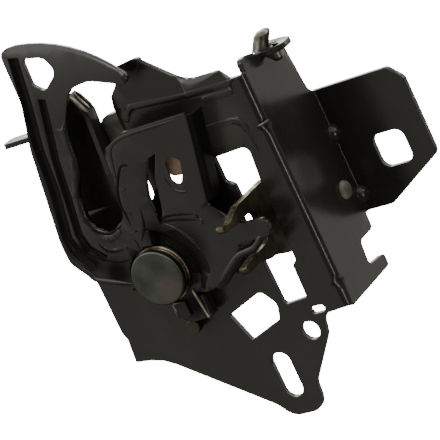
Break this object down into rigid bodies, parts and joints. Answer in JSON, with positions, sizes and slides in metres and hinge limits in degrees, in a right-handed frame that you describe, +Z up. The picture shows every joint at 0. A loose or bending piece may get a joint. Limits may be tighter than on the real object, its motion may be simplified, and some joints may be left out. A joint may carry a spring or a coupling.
{
  "type": "bonnet latch",
  "caption": "Folded sheet steel bonnet latch: a hooked catch lever and a sprung lift lever hold the striker, and a cable lever frees the hook.",
  "frame": {"origin": "centre of the round locating hole, on the front face of the main plate", "axes": "+Z up to the bonnet, +X towards the bolt flange, -Y out of the front face"},
  "size_m": [0.1552, 0.0748, 0.1891],
  "materials": {
    "black_coat": "gloss",
    "zinc_olive": "satin",
    "zinc_bright": "satin",
    "rivet_steel": "satin",
    "washer_steel": "satin",
    "bush_metal": "satin",
    "spring_steel": "satin"
  },
  "bodies": {
    "frame": {"base_plate": "black_coat", "side_wall": "black_coat", "bolt_flange": "black_coat", "catch_rivet": "rivet_steel", "catch_washer": "washer_steel", "catch_spring": "spring_steel", "stop_pin": "zinc_bright", "lift_rivet": "zinc_bright", "lift_washer": "washer_steel", "lift_spring": "spring_steel", "release_rivet": "rivet_steel", "release_sleeve": "zinc_bright", "release_spring": "spring_steel", "cable_peg": "zinc_bright"},
    "catch": {"catch_lever": "black_coat", "catch_bush": "bush_metal", "stop_buffer": "black_coat"},
    "lift": {"lift_lever": "zinc_olive", "lift_bush": "bush_metal"},
    "release": {"release_lever": "zinc_olive"}
  },
  "joints": [
    {"name": "catch_swing", "type": "hinge", "parent": "frame", "child": "catch", "pos_m": [-0.048, 0, 0.0435], "axis": [0, -1, 0], "range_deg": [0, 17], "stiffness_Nm_per_rad": 0.4, "springref_deg": -20.05, "deforming": ["catch_spring"]},
    {"name": "release_swing", "type": "hinge", "parent": "frame", "child": "release", "pos_m": [-0.00025, 0.0328, 0.0439], "axis": [-1, 0, 0], "range_deg": [0, 18.8], "stiffness_Nm_per_rad": 0.2, "springref_deg": -20.05, "deforming": ["release_spring"]},
    {"name": "lift_swing", "type": "hinge", "parent": "frame", "child": "lift", "pos_m": [-0.022, 0.00475, 0.0955], "axis": [0, -1, 0], "range_deg": [0, 25], "stiffness_Nm_per_rad": 0.3, "springref_deg": -17.19, "deforming": ["lift_spring"]}
  ],
  "couplings": [
    {"joint": "release_swing", "follows": "catch_swing", "ratio": 1.1}
  ]
}
